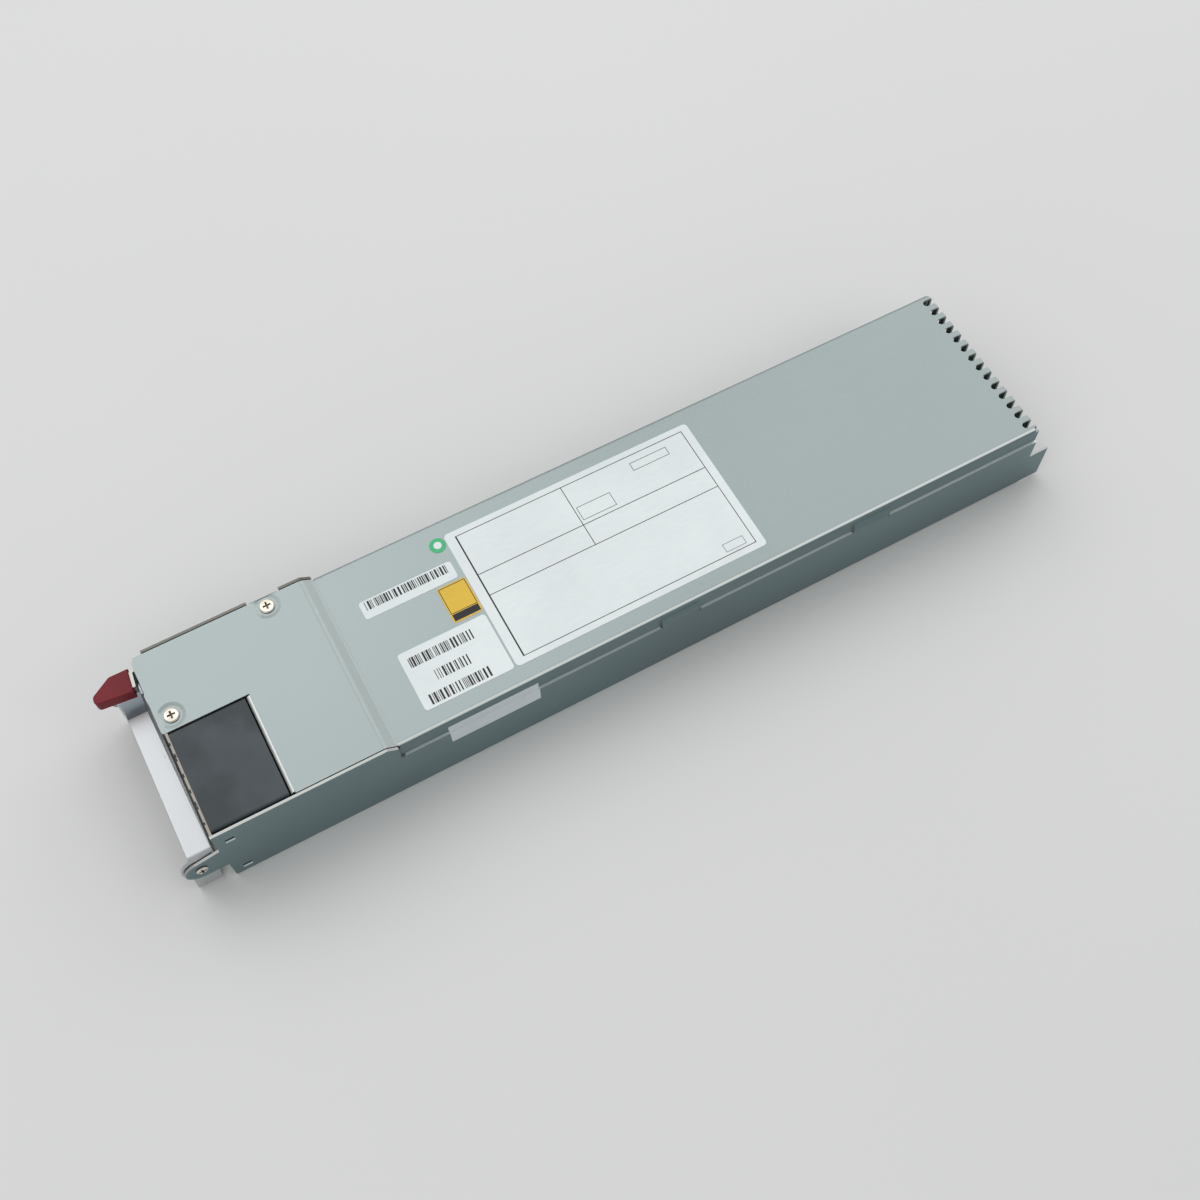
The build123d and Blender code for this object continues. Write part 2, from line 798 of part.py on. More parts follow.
# Wound stator round the bearing's tube
def make_fan_stator():
    y0 = rotor_front + rotor_hub_depth - stator_depth
    face = Circle(stator_radius) - Circle(tube_radius + thread_play)
    for index in range(stator_poles):
        slot = Pos(stator_radius - stator_slot_inset, 0) * Circle(stator_slot_radius)
        face -= Rot(0, 0, index * 360 / stator_poles) * slot
    return lengthwise(Pos(fan_x, fan_z) * face, y0, y0 + stator_depth)


# Handle strap: a closed loop bent from one strip
def strap_loop(inset):
    """The loop seen from the front, drawn in by a distance."""
    side = strap_face - inset
    top = strap_top - inset
    foot = strap_foot + inset
    shoulder = top - strap_shoulder_drop
    loop = outline(
        (-side, foot),
        (-side, shoulder),
        (-wall_inner + strap_shoulder_run, top),
        (side, top),
        (side, foot),
    )
    for place, radius in (
        ((-side, foot), strap_bend),
        ((side, foot), strap_bend),
        ((side, top), strap_bend),
        ((-side, shoulder), strap_bend),
        ((-wall_inner + strap_shoulder_run, top), strap_slope_bend),
    ):
        loop = round_corner(loop, place, radius - inset)
    return loop


def make_handle():
    outer_y = front - strap_front_reach
    top_y = front - strap_top_gap
    ring = lengthwise(strap_loop(0) - strap_loop(strap), outer_y - 1, front)

    # Edges seen from the side: the strap leans back towards its top bar
    edges = outline(
        (top_y - strap_width, strap_top + 1),
        (top_y - strap_width, strap_top - strap / 2),
        (top_y - strap_width - strap_neck, strap_top - strap_neck_drop),
        (outer_y, strap_foot - 1),
        (outer_y + strap_foot_width, strap_foot - 1),
        (outer_y + strap_foot_width + strap_swell, strap_foot + strap_swell_height),
        (top_y, strap_top + 1),
    )
    ring &= across(edges, -beyond, beyond)

    # The top bar narrows towards the shoulder
    shoulder_x = -wall_inner + strap_shoulder_run
    taper = outline(
        (wall_inner, top_y),
        (wall_inner, front),
        (-wall_inner, front),
        (-wall_inner, top_y - strap_taper),
        (shoulder_x, top_y - strap_taper),
    )
    ring -= upright(taper, strap_top - strap_shoulder_drop, strap_top + 1)
    pivot_y = front - pivot_reach
    for lug in both_sides(rod_x(pivot_y, pivot_height, lug_radius, strap_inner, strap_face)):
        ring += lug
    return ring - rod_x(pivot_y, pivot_height, screw_radius + pivot_play, -beyond, beyond)


def make_pivot_screws():
    seat = wall_face - dimple_depth
    length = seat - (strap_inner - strap_side_gap - nut_height)
    screw = cross_screw(length, pivot_head_radius)
    return both_sides(Pos(seat, front - pivot_reach, pivot_height) * Rot(0, 90, 0) * screw)


def make_pivot_nuts():
    outer = strap_inner - strap_side_gap
    hexagon = RegularPolygon(nut_radius, 6) - Circle(screw_radius + thread_play)
    return both_sides(across(Pos(front - pivot_reach, pivot_height) * hexagon, outer - nut_height, outer))


# Release lever: a jogged strip beside the far wall with its catch and folded front end
def make_lever():
    root_y = front + lever_root
    corner_y = front - lever_front_reach
    jog_start = front + lever_jog_start
    jog_end = front + lever_jog_end
    tilt = radians(lever_tilt)
    end_x = lever_front_x + lever_front_length * cos(tilt)
    end_y = corner_y - lever_front_length * sin(tilt)
    strip = outline(
        (lever_face, root_y),
        (lever_face, jog_end),
        (lever_front_x, jog_start),
        (lever_front_x, corner_y - lever),
        (end_x - lever * sin(tilt), end_y - lever * cos(tilt)),
        (end_x, end_y),
        (lever_front_x + lever, corner_y),
        (lever_front_x + lever, jog_start),
        (lever_face + lever, jog_end),
        (lever_face + lever, root_y),
    )
    strip = round_corner(strip, (lever_front_x, corner_y - lever), lever)
    catch = outline(
        (lever_face + lever / 2, front + catch_start),
        (-wall_face - catch_reach, front + catch_start + catch_nose),
        (-wall_face - catch_reach, front + catch_start + 2 * catch_nose),
        (lever_face + lever / 2, front + catch_start + catch_length),
    )
    return upright(strip, lever_low, lever_top) + upright(catch, lever_low, lever_top)


def make_grip():
    shoulder = (grip_draft - grip_overhang, -grip_length + grip_cut)
    tip = (grip_width - grip_tip, -grip_length)
    nose = (grip_width, -grip_length)
    shape = outline((-grip_overhang, 0), shoulder, tip, nose, (grip_width, 0))
    for corner in (shoulder, tip, nose):
        shape = round_corner(shape, corner, grip_nose)
    grip = extrude(shape, grip_height)
    grip = fillet(grip.edges().group_by(Axis.Z)[-1], grip_edge)
    tilt = radians(lever_tilt)
    x = lever_front_x - lever * sin(tilt)
    y = front - lever_front_reach - lever * cos(tilt)
    return Pos(x, y, lever_top - grip_height) * Rot(0, 0, -lever_tilt) * grip


def make_release_spring():
    leaf = block(-wall_inner, lever_face, front + lever_root - spring_lap, front + lever_root + spring_tail,
                 lever_low, lever_top)
    for setback in rivet_setbacks:
        leaf -= rod_x(front + lever_root + setback, lever_top - lever_height / 2, rivet_radius, -beyond, 0)
    return leaf


def make_rivets():
    rivets = []
    z = lever_top - lever_height / 2
    for setback in rivet_setbacks:
        y = front + lever_root + setback
        head = rod_x(y, z, rivet_head_radius, lever_face, lever_face + rivet_head)
        head = chamfer(head.edges().group_by(Axis.X)[-1], rivet_head / 2)
        rivets.append(head + rod_x(y, z, rivet_radius, -wall_face + seam, lever_face))
    return rivets


# Mains inlet: a shroud with two cut corners round three flat pins
def make_inlet():
    panel_face = front + panel_set_back
    flange_face = panel_face - inlet_flange
    place = Pos(inlet_x, inlet_z)
    rim = Rectangle(inlet_flange_width, inlet_flange_height)
    rim = fillet(rim.vertices(), inlet_flange_radius)
    shell = Rectangle(inlet_flange_width - 2 * inlet_body_margin, inlet_flange_height - 2 * inlet_body_margin)
    inlet = lengthwise(place * rim, flange_face, panel_face) + lengthwise(place * shell, panel_face, inlet_back)
    half_width = socket_width / 2
    half_height = socket_height / 2
    cavity = outline(
        (-half_width, -half_height),
        (half_width, -half_height),
        (half_width, half_height - socket_corner),
        (half_width - socket_corner, half_height),
        (-half_width + socket_corner, half_height),
        (-half_width, half_height - socket_corner),
    )
    inlet -= lengthwise(place * cavity, flange_face - 1, flange_face + socket_depth)
    for x, z in inlet_pin_places():
        inlet -= pin_bar(x, z, flange_face, inlet_back + 1)
    return inlet


def inlet_pin_places():
    z = inlet_z - pin_drop
    return [(inlet_x - pin_spacing / 2, z), (inlet_x + pin_spacing / 2, z), (inlet_x, z + pin_earth_rise)]


def pin_bar(x, z, y0, y1):
    return block(x - pin_thick / 2, x + pin_thick / 2, y0, y1, z - pin_tall / 2, z + pin_tall / 2)


def make_inlet_pins():
    tip = front + panel_set_back - inlet_flange + pin_recess
    pins = []
    for x, z in inlet_pin_places():
        pin = pin_bar(x, z, tip, inlet_back + inlet_board_gap)
        pins.append(chamfer(pin.faces().sort_by(Axis.Y)[0].edges(), pin_point))
    return pins


def make_inlet_board():
    y0 = inlet_back + inlet_board_gap
    return block(-board_half + board_side_gap, nose_high_x - board_side_gap, y0, y0 + board, deck, deck + part_height)


def make_lamp():
    y0 = front + panel_set_back
    stem = rod_y(*lamp_place, lamp_radius, y0 - seam, y0 + lamp_depth)
    return stem + rod_y(*lamp_place, lamp_radius + lamp_collar, y0 + panel, y0 + 2 * panel)


# Main board with its contact tongue, on standoffs over an insulating sheet
def make_insulator():
    sheet = block(-board_half, board_half, front + board_front, board_rear, wall, wall + insulator)
    for x, y in standoff_places:
        sheet -= rod_z(x, y, standoff_radius + screw_play, 0, deck)
    return sheet


def make_standoffs():
    posts = []
    for x, y in standoff_places:
        post = Pos(x, y) * (RegularPolygon(standoff_radius, 6) - Circle(screw_radius + thread_play))
        posts.append(upright(post, wall, wall + board_rise))
    return posts


def make_main_board():
    tongue = tongue_width / 2
    shape = outline(
        (-board_half, front + board_nose),
        (nose_high_x, front + board_nose),
        (nose_high_x, front + board_front),
        (board_half, front + board_front),
        (board_half, board_rear),
        (tongue, board_rear),
        (tongue, rear + tongue_reach),
        (-tongue, rear + tongue_reach),
        (-tongue, board_rear),
        (-board_half, board_rear),
    )
    plate = upright(shape, deck - board, deck)
    plate = chamfer(plate.faces().sort_by(Axis.Y)[-1].edges().filter_by(Axis.X), board / 4)
    for x, y in standoff_places:
        plate -= rod_z(x, y, screw_radius + screw_play, 0, beyond)
    return plate


def make_board_screws():
    return [Pos(x, y, deck) * plain_screw(board + board_rise - seam) for x, y in standoff_places]


def make_contacts():
    pads = []
    y1 = rear + tongue_reach - contact_setback
    for index in range(contact_count):
        x = (index - (contact_count - 1) / 2) * contact_pitch
        for z in (deck, deck - board - contact_thick):
            pads.append(block(x - contact_width / 2, x + contact_width / 2, y1 - contact_length, y1,
                              z, z + contact_thick))
    return pads


# Parts on the board, row by row
def make_fan_header():
    y = row_start("header")
    x0 = fan_x - header_width / 2
    x1 = fan_x + header_width / 2
    length = row_lengths["header"]
    shell = block(x0, x1, y, y + length, deck, deck + header_height)
    return shell - block(x0 + header_wall, x1 - header_wall, y + header_wall, y + length - header_wall,
                         deck + header_wall, deck + header_height + 1)


def make_line_capacitors():
    pair = []
    step = row_lengths["filter"] - line_capacitor_length
    for start in (0, step):
        y = row_start("filter") + start
        body = block(-board_half + edge_room, -line_capacitor_inset, y, y + line_capacitor_length,
                     deck, deck + line_capacitor_height)
        pair.append(chamfer(body.edges().filter_by(Axis.Z), box_corner))
    return pair


def make_filter_choke():
    room = board_half - fuse_inset - fuse_radius - fuse_cap - neighbour_gap - filter_choke_start
    radius = min(row_lengths["filter"], room) / 2
    y = row_start("filter") + row_lengths["filter"] / 2
    return Pos(filter_choke_start + radius, y, deck) * wound_ring(radius, filter_choke_height)


def make_fuse():
    y = row_start("filter") + (row_lengths["filter"] - fuse_length) / 2
    x = board_half - fuse_inset
    z = deck + fuse_rise
    fuse = rod_y(x, z, fuse_radius, y, y + fuse_length)
    for end in (y, y + fuse_length - fuse_cap_length):
        fuse += rod_y(x, z, fuse_radius + fuse_cap, end, end + fuse_cap_length)
        fuse += block(x - fuse_foot / 2, x + fuse_foot / 2, end + fuse_cap, end + fuse_cap_length - fuse_cap, deck, z)
    return fuse


def make_relay():
    y = row_start("relay")
    case = block(-board_half + edge_room, -relay_inset, y, y + relay_length, deck, deck + relay_height)
    return chamfer(case.edges().filter_by(Axis.Z), box_corner)


def make_bridge():
    y = row_start("relay")
    x0 = input_sink_start + neighbour_gap
    x1 = board_half - edge_room - neighbour_gap
    body = block(x0, x1, y, y + bridge_thick, deck, deck + bridge_height)
    return body - rod_y((x0 + x1) / 2, deck + bridge_hole_height, bridge_hole, y - 1, y + bridge_thick + 1)


def make_input_heatsink():
    x1 = board_half - edge_room
    sink = Rot(0, 0, 90) * heatsink(x1 - input_sink_start, input_sink_depth)
    return Pos(x1, row_start("relay") + bridge_thick, deck) * sink


def bulk_centre_x():
    """X of the bulk capacitors' axis; they lie along the far edge of the board."""
    return -board_half + bulk_edge_gap + part_height / 2


def make_boost_choke():
    x0 = bulk_centre_x() + part_height / 2 + neighbour_gap
    x1 = board_half - edge_room
    radius = min(x1 - x0, boost_choke_room) / 2
    y = row_start("boost") + boost_choke_room / 2
    return Pos(x0 + radius, y, deck) * wound_ring(radius, boost_choke_height)


def make_bulk_capacitors():
    radius = part_height / 2
    length = (row_lengths["boost"] - neighbour_gap) / 2
    cans = []
    for start in (0, length + neighbour_gap):
        place = Pos(bulk_centre_x(), row_start("boost") + start, deck + radius)
        cans.append(place * Rot(-90, 0, 0) * can(radius, length))
    return cans


def power_sink_start():
    """Y where the power heatsink starts, behind the boost choke."""
    return row_start("boost") + boost_choke_room + neighbour_gap


def make_power_heatsink():
    length = row_lengths["boost"] - boost_choke_room - neighbour_gap
    sink = mirror(heatsink(length, power_sink_depth), Plane.YZ)
    return Pos(board_half - power_sink_edge_gap, power_sink_start(), deck) * sink


def make_power_transistors():
    parts = []
    face = board_half - power_sink_edge_gap - power_sink_depth
    for index in range(transistor_count):
        y = power_sink_start() + box_corner + transistor_pitch * index
        parts.append(block(face - transistor_thick, face, y, y + transistor_width, deck, deck + transistor_height))
    return parts


def core_sides():
    """X of both sides of the transformer's core, from the standby transformer to the free near edge."""
    return -board_half + standby_edge_gap + standby_width + core_gap, board_half - core_edge_gap


def make_transformer_core():
    x0, x1 = core_sides()
    y = row_start("transformer") + core_inset
    length = row_lengths["transformer"] - 2 * core_inset
    core = block(x0, x1, y, y + length, deck, deck + part_height)
    return core - block(x0 + core_leg, x1 - core_leg, y - 1, y + length + 1,
                        deck + core_yoke, deck + part_height - core_yoke)


def make_transformer_winding():
    x0, x1 = core_sides()
    y = row_start("transformer")
    coil = block(x0 + core_leg, x1 - core_leg, y, y + row_lengths["transformer"],
                 deck + core_yoke, deck + part_height - core_yoke)
    return chamfer(coil.edges().filter_by(Axis.Y), winding_corner)


def make_standby_transformer():
    x = -board_half + standby_edge_gap
    y = row_start("transformer") + box_corner
    core = block(x, x + standby_width, y, y + standby_length, deck, deck + standby_height)
    return chamfer(core.edges().filter_by(Axis.Z), box_corner)


def make_control_board():
    x = -board_half + control_board_inset
    y0 = row_start("transformer") + control_board_start
    y1 = row_start("rectifier") + row_lengths["rectifier"] - control_board_end
    return block(x, x + board, y0, y1, deck, deck + part_height)


def make_rectifier_heatsink():
    x0 = -board_half + rectifier_sink_start
    x1 = board_half - output_choke_inset - output_choke_radius - rectifier_sink_gap
    return Pos(x0, row_start("rectifier"), deck) * heatsink(row_lengths["rectifier"], x1 - x0)


def make_output_choke():
    x = board_half - output_choke_inset
    y = row_start("rectifier") + row_lengths["rectifier"] / 2
    return Pos(x, y, deck) * wound_ring(output_choke_radius, output_choke_height)


def make_output_capacitors():
    cans = []
    room = 2 * (board_half - bar_inset - bar_width - output_can_gap) + output_can_pitch - 2 * output_can_radius
    columns = int(room / output_can_pitch)
    for row in range(output_can_rows):
        y = row_start("output") + (row + 0.5) * row_lengths["output"] / output_can_rows
        for column in range(columns):
            x = (column - (columns - 1) / 2) * output_can_pitch
            cans.append(Pos(x, y, deck) * can(output_can_radius, output_can_height))
    return cans


def make_output_bars():
    y0 = row_start("output")
    y1 = y0 + row_lengths["output"]
    x1 = board_half - bar_inset
    shape = outline(
        (y0, deck),
        (y1, deck),
        (y1, deck + bar_thick),
        (y0 + bar_root, deck + bar_thick),
        (y0 + bar_root, deck + bar_height),
        (y0, deck + bar_height),
    )
    return both_sides(across(shape, x1 - bar_width, x1))


pieces = {
    "chassis_base": make_base,
    "top_cover": make_cover,
    "cover_screws": make_cover_screws,
    "front_panel": make_panel,
    "fan_frame": make_fan_frame,
    "fan_bearing": make_fan_bearing,
    "fan_stator": make_fan_stator,
    "fan_rotor": make_fan_rotor,
    "fan_screws": make_fan_screws,
    "fan_header": make_fan_header,
    "handle": make_handle,
    "pivot_screws": make_pivot_screws,
    "pivot_nuts": make_pivot_nuts,
    "release_lever": make_lever,
    "release_grip": make_grip,
    "release_spring": make_release_spring,
    "release_rivets": make_rivets,
    "ac_inlet": make_inlet,
    "inlet_pins": make_inlet_pins,
    "inlet_board": make_inlet_board,
    "status_led": make_lamp,
    "insulator_sheet": make_insulator,
    "board_standoffs": make_standoffs,
    "main_board": make_main_board,
    "board_screws": make_board_screws,
    "edge_contacts": make_contacts,
    "line_filter_choke": make_filter_choke,
    "line_capacitors": make_line_capacitors,
    "fuse": make_fuse,
    "relay": make_relay,
    "bridge_rectifier": make_bridge,
    "input_heatsink": make_input_heatsink,
    "boost_choke": make_boost_choke,
    "bulk_capacitors": make_bulk_capacitors,
    "power_heatsink": make_power_heatsink,
    "power_transistors": make_power_transistors,
    "transformer_core": make_transformer_core,
    "transformer_winding": make_transformer_winding,
    "standby_transformer": make_standby_transformer,
    "rectifier_heatsink": make_rectifier_heatsink,
    "output_choke": make_output_choke,
    "output_capacitors": make_output_capacitors,
    "output_bars": make_output_bars,
    "control_board": make_control_board,
}

os.makedirs("parts", exist_ok=True)
for name, make in pieces.items():
    made = make()
    if isinstance(made, list):
        made = Compound(children=made)
    export_step(made, f"parts/{name}.step")
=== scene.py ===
import random
from math import pi, radians

import bmesh
import bpy
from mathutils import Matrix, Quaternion, Vector


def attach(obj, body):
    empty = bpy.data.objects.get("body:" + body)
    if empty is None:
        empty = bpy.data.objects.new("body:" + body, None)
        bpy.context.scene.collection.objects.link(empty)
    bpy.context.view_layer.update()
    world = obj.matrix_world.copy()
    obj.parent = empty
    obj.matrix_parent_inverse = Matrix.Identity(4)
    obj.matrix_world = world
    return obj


# Hot swap server power supply: finishes, labels, seal, floor, light and camera.
# The frame is that of the loaded parts, in metres: X across the case, Y from the handle
# to the card edge, Z up. Sizes and places on the case are given in millimetres, with Y
# measured backwards from the case's front edge.

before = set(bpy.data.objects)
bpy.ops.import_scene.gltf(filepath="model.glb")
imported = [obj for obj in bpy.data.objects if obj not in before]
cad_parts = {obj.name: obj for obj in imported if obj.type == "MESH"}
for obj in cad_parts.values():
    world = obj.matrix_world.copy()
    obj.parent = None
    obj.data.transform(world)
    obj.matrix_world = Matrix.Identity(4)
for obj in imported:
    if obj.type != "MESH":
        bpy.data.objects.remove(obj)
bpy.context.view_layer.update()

MM = 0.001

# The case
case_front = -168.0
lid_top = 37.3
raised_top = 40.0
wall_face = 38.0
flange_face = 37.0
ledge_height = 29.5

# Camera, in metres
camera_place = (0.23223, -0.12295, 0.49951)
camera_aim = (0.00375, -0.00412, 0.0)
camera_roll = radians(-1.2)
camera_near_clip = 0.01
picture_side = 1200
focal_pixels = 1456.8
sensor_width = 36.0

# Where the bare and worn edges, painted highlights and painted shade lie
wall_depth = 1.1
wall_foot = 1.7
ledge_reach = 0.6
lance_rise = 0.1
slit_middle = 5.2
slit_reach = 2.3
slit_drop = 1.5
lid_depth = 0.95
fold_middle = 30.3
fold_reach = 1.1
bend_middle = 36.2
bend_reach = 0.9
panel_depth = 0.4
mark_pitch = 6.4
mark_depth = 0.65
mark_width = 1.9
mark_raggedness = 2.4
mark_blotch = 0.64
head_top = 0.45
recess_depth = 0.05

# Which way the metal faces there: parts of its direction along one axis
flank_turn = 0.6
wall_turn = 0.5
cut_turn = 0.35
fold_turn = -0.15
bend_turn = 0.48
bend_turn_reach = 0.26
step_turn = 0.5
step_turn_reach = 0.3
chamfer_turn = 0.707
chamfer_turn_reach = 0.2
slope_turns = (-0.8, -0.12)

# Colours of the bare, worn and dirty places, and of painted highlights and painted shade
# Bare cut edges: painted lighter on the near side where lit, painted shade on the far side, and a painted
# highlight along the ledge's edge
near_cut_lit = (0.45, 0.465, 0.445)
far_cut_shaded = (0.15, 0.145, 0.13)
ledge_highlight = (0.80, 0.84, 0.83)
# Painted highlight on the lips of raised tabs
lance_lip_highlight = (0.62, 0.66, 0.66)
lid_cut = (0.40, 0.39, 0.36)
# Painted highlight on the fold behind the fan
fold_highlight = (0.80, 0.82, 0.80)
# Painted highlight on the lid's near bend
near_bend_highlight = (0.78, 0.81, 0.79)
# Painted light on the lid's step
step_light = (0.42, 0.47, 0.46)
panel_cut = (0.30, 0.275, 0.245)
# Painted shade in the screws' cross recesses
recess_shade = (0.10, 0.07, 0.045)
# Painted shade on the slope at the strap's far end
strap_slope_shade = (0.27, 0.31, 0.345)
strap_speck = (0.34, 0.30, 0.25)
sheet_speck = (0.16, 0.17, 0.17)
plastic_scuff = (0.024, 0.031, 0.036)
plastic_dust = (0.30, 0.31, 0.31)
# Near black, used for painted shade in the slits and for the dark marks on the front panel's edge
shade_and_mark_black = (0.035, 0.036, 0.038)

# The span that most of a noise pattern's values fill
noise_span = (0.3, 0.7)

# Labels on the lid: each box runs from x to x and from y to y
label_stock = 0.10
ink = 0.02
corner_steps = 5
rating_box = (-30.0, 30.0, 117.2, 219.5)
rating_corner = 1.6
rating_front_rule = (-27.6, 27.4, 120.9, 121.18)
rating_border = (-27.6, 27.4, 121.18, 216.3)
rating_rule = 0.28
rating_long_rules = (-9.4, 0.0)
rating_long_rule_ends = (121.2, 216.0)
rating_cross_rule = (-27.3, 0.0, 164.3, 164.58)
rating_small_field = (22.5, 26.0, 204.6, 213.0)
rating_small_rule = 0.16
rating_large_fields = ((-24.4, -20.8, 192.0, 207.5), (-17.0, -11.0, 165.5, 179.5))
rating_large_rule = 0.2
serial_box = (5.8, 29.9, 82.0, 116.4)
code_box = (-19.5, -12.0, 78.5, 114.9)
stripe_label_corner = 1.2
first_stripe = (9.0, 12.6, 84.6, 84.9)
stripe_fields = (
    (8.7, 12.8, 85.2, 110.0),
    (17.0, 21.1, 91.0, 104.4),
    (24.7, 28.8, 85.2, 109.2),
    (-18.9, -15.3, 80.4, 113.6),
)
stripe_widths = (0.25, 0.25, 0.5, 0.75)
stripe_gaps = (0.3, 0.3, 0.55, 0.8)
stripe_end = 0.9
stripe_seed = 7
tag_box = (-11.0, 4.3, 105.4, 116.8)
tag_corner = 1.3
tag_band = (0.9, 3.7, 106.0, 116.2)
tag_border = (-10.5, 0.6, 105.9, 116.3)
tag_rule = 0.25
dot_place = (-27.3, 113.8)
dot_radius = 3.1
dot_middle_radius = 1.5
dot_corners = 48

# Seal on the near side
seal_foot = 22.0
seal_top = 32.8
seal_front_foot = 86.5
seal_front_top = 86.4
seal_back = 121.5
seal_gap = 0.03
seal_ease = 0.2
seal_rise = 0.3

# Floor and world, in metres
floor_size = 40.0
floor_colour = (0.60, 0.60, 0.59)
floor_shade = 0.98
floor_roughness = 0.8
world_colour = (0.97, 0.99, 1.0, 1)
world_light = 0.74
backdrop_light = 0.48


def spot(x, y, z):
    """A place in metres from millimetres on the case."""
    return Vector((x * MM, (case_front + y) * MM, z * MM))


def add_camera():
    data = bpy.data.cameras.new("camera")
    data.sensor_width = sensor_width
    data.lens = sensor_width * focal_pixels / picture_side
    data.clip_start = camera_near_clip
    camera = bpy.data.objects.new("camera", data)
    bpy.context.scene.collection.objects.link(camera)
    aim = Vector(camera_aim) - Vector(camera_place)
    turn = aim.to_track_quat("-Z", "Y") @ Quaternion((0, 0, 1), camera_roll)
    camera.location = camera_place
    camera.rotation_euler = turn.to_euler()
    bpy.context.scene.camera = camera


class Finish:
    """A material's nodes, with a short call for each kind that the finishes use."""

    def __init__(self, name):
        self.material = bpy.data.materials.new(name)
        self.material.use_nodes = True
        self.tree = self.material.node_tree
        self.shader = self.tree.nodes["Principled BSDF"]
        source = self.tree.nodes.new("ShaderNodeTexCoord")
        self.place = source.outputs["Object"]
        self.facing = source.outputs["Normal"]

    def feed(self, socket, value):
        """Link a value into a socket, or set it there when it is a plain number or colour."""
        if isinstance(value, bpy.types.NodeSocket):
            self.tree.links.new(value, socket)
        else:
            socket.default_value = value

    def surface(self, name, value):
        self.feed(self.shader.inputs[name], value)

    def math(self, operation, first, second=0.0, third=0.0):
        node = self.tree.nodes.new("ShaderNodeMath")
        node.operation = operation
        self.feed(node.inputs[0], first)
        self.feed(node.inputs[1], second)
        self.feed(node.inputs[2], third)
        return node.outputs[0]

    def size(self, value):
        """A value without its sign."""
        return self.math("ABSOLUTE", value)

    def over(self, value, limit):
        """1 where a value lies over a limit, 0 elsewhere."""
        return self.math("GREATER_THAN", value, limit)

    def under(self, value, limit):
        """1 where a value lies under a limit, 0 elsewhere."""
        return self.math("LESS_THAN", value, limit)

    def near(self, value, middle, reach):
        """1 where a value lies within a reach of a middle, 0 elsewhere."""
        return self.under(self.size(self.math("SUBTRACT", value, middle)), reach)

    def both(self, first, second):
        """1 where two masks are both 1, 0 elsewhere."""
        return self.math("MULTIPLY", first, second)

    def layered(self, value, share, base):
        """A share of one value added to another."""
        return self.math("MULTIPLY_ADD", value, share, base)

    def split(self, vector):
        node = self.tree.nodes.new("ShaderNodeSeparateXYZ")
        self.feed(node.inputs[0], vector)
        return node.outputs

    def stretched(self, scale):
        node = self.tree.nodes.new("ShaderNodeMapping")
        self.feed(node.inputs["Vector"], self.place)
        node.inputs["Scale"].default_value = scale
        return node.outputs["Vector"]

    def noise(self, scale, detail=3.0, vector=None, roughness=0.5):
        node = self.tree.nodes.new("ShaderNodeTexNoise")
        self.feed(node.inputs["Vector"], vector or self.place)
        node.inputs["Scale"].default_value = scale
        node.inputs["Detail"].default_value = detail
        node.inputs["Roughness"].default_value = roughness
        return node.outputs["Fac"]

    def specks(self, scale, radius, strength=1.0):
        """Rare round specks: a strength inside them, 0 outside."""
        node = self.tree.nodes.new("ShaderNodeTexVoronoi")
        self.feed(node.inputs["Vector"], self.place)
        node.inputs["Scale"].default_value = scale
        return self.math("MULTIPLY", self.under(node.outputs["Distance"], radius), strength)

    def ramp(self, value, span, first, second):
        """From one colour to another over a span of a value. A colour may be one number for a grey."""
        node = self.tree.nodes.new("ShaderNodeValToRGB")
        for stop, place, colour in zip(node.color_ramp.elements, span, (first, second)):
            stop.position = place
            stop.color = (*colour, 1) if isinstance(colour, tuple) else (colour, colour, colour, 1)
        self.feed(node.inputs["Fac"], value)
        return node.outputs["Color"]

    def mix(self, share, first, second):
        node = self.tree.nodes.new("ShaderNodeMix")
        node.data_type = "RGBA"
        self.feed(node.inputs["Factor"], share)
        self.feed(node.inputs["A"], (*first, 1) if isinstance(first, tuple) else first)
        self.feed(node.inputs["B"], (*second, 1) if isinstance(second, tuple) else second)
        return node.outputs["Result"]

    def bump(self, height, depth, strength):
        """Relief of a height map, its depth in millimetres."""
        node = self.tree.nodes.new("ShaderNodeBump")
        node.inputs["Strength"].default_value = strength
        node.inputs["Distance"].default_value = depth * MM
        self.feed(node.inputs["Height"], height)
        self.feed(self.shader.inputs["Normal"], node.outputs["Normal"])


# Bare and worn edges, with painted highlights and painted shade
def wall_edges(finish, colour):
    """Bare cut edges of the side walls and ears, painted lighter on the near side and darker on the far side
    as light and shade, with a painted highlight along the ledge, painted shade in the slits in front, and
    painted highlights on the lips of raised tabs.
    """
    x, y, z = finish.split(finish.place)
    side = finish.size(x)
    turn = finish.size(finish.split(finish.facing)[0])
    # Painted light on the near cut edges, with a painted highlight along the ledge
    cut = finish.mix(finish.near(z, ledge_height * MM, ledge_reach * MM), near_cut_lit, ledge_highlight)
    # Painted shade on the far side's cut edges
    cut = finish.mix(finish.under(x, 0.0), cut, far_cut_shaded)
    # Painted shade in the slits in front
    slit_shade = finish.near(y, (case_front + slit_middle) * MM, slit_reach * MM)
    slit_shade = finish.both(slit_shade, finish.under(z, (raised_top - slit_drop) * MM))
    cut = finish.mix(slit_shade, cut, shade_and_mark_black)
    # Painted highlight on the lips of raised tabs
    colour = finish.mix(finish.over(side, (wall_face + lance_rise) * MM), colour, lance_lip_highlight)
    wall = finish.both(finish.over(side, (wall_face - wall_depth) * MM), finish.over(z, wall_foot * MM))
    return finish.mix(finish.both(wall, finish.under(turn, wall_turn)), colour, cut)


